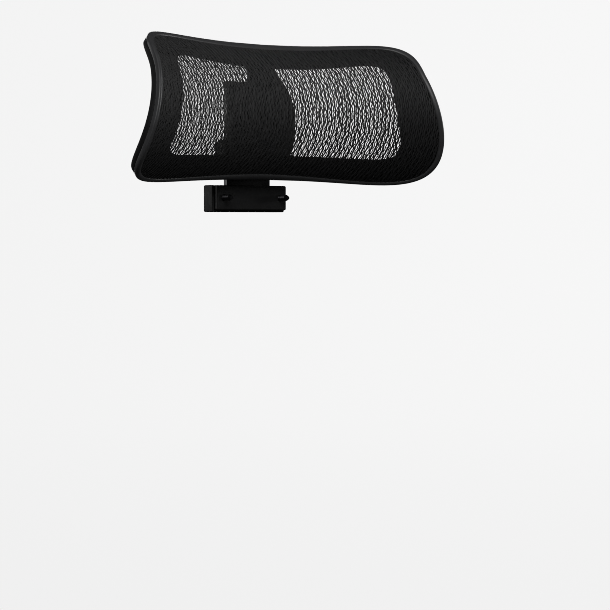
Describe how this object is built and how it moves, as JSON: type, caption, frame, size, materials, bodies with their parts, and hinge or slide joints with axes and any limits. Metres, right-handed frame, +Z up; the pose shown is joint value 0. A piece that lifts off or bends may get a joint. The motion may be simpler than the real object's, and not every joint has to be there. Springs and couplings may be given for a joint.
{
  "type": "chair headrest attachment",
  "caption": "Curved mesh headrest in a moulded frame with a central spine, tilting on a friction hinge and sliding up a flat notched rail in a bolt-on bracket.",
  "frame": {"origin": "centre of the mounting face: the flat front of the bracket that bears on the back of a chair's top rail", "axes": "+Z up; the sitter looks along -Y; +X is on the sitter's left, along the headrest's width"},
  "size_m": [0.3536, 0.1114, 0.1661],
  "materials": {
    "moulded_nylon": "black glass-filled nylon, fine spark-eroded grain, satin",
    "satin_trim": "black extruded bead, smooth satin",
    "mesh_fabric": "black open knitted polyester mesh, wavy upright cords tied by fine cross threads",
    "acetal": "black acetal, smooth",
    "painted_steel": "black powder coat, fine texture",
    "zinc_steel": "bright zinc plate",
    "black_screw": "black oxide, slightly oily",
    "spring_steel": "rolled spring steel, satin"
  },
  "bodies": {
    "mount": {"mount_bracket": "moulded_nylon", "bracket_cover": "moulded_nylon", "mount_bolt_left": "black_screw", "mount_bolt_right": "black_screw", "mount_washer_left": "zinc_steel", "mount_washer_right": "zinc_steel", "rail_screw_left": "black_screw", "rail_screw_right": "black_screw", "height_rail": "painted_steel", "rail_cap": "moulded_nylon"},
    "carrier": {"slide_carrier": "moulded_nylon", "carrier_cover": "moulded_nylon", "cover_screw_1": "black_screw", "cover_screw_2": "black_screw", "cover_screw_3": "black_screw", "cover_screw_4": "black_screw", "guide_liner_left": "acetal", "guide_liner_right": "acetal", "detent_spring": "spring_steel", "hinge_bush_left": "acetal", "hinge_bush_right": "acetal"},
    "pad": {"headrest_frame": "moulded_nylon", "mesh_panel": "mesh_fabric", "edge_trim": "satin_trim", "mesh_welt": "acetal", "hinge_block": "moulded_nylon", "hinge_screw_1": "black_screw", "hinge_screw_2": "black_screw", "hinge_screw_3": "black_screw", "hinge_screw_4": "black_screw", "tilt_axle": "zinc_steel", "axle_nut": "zinc_steel", "spring_washer_left": "spring_steel", "spring_washer_right": "spring_steel", "hinge_cap_left": "moulded_nylon", "hinge_cap_right": "moulded_nylon"}
  },
  "joints": [
    {"name": "height_slide", "type": "slide", "parent": "mount", "child": "carrier", "axis": [0, 0, 1], "range_m": [0, 0.048]},
    {"name": "headrest_tilt", "type": "hinge", "parent": "carrier", "child": "pad", "pos_m": [0, -0.0055, 0.041], "axis": [1, 0, 0], "range_deg": [-15, 25]}
  ]
}
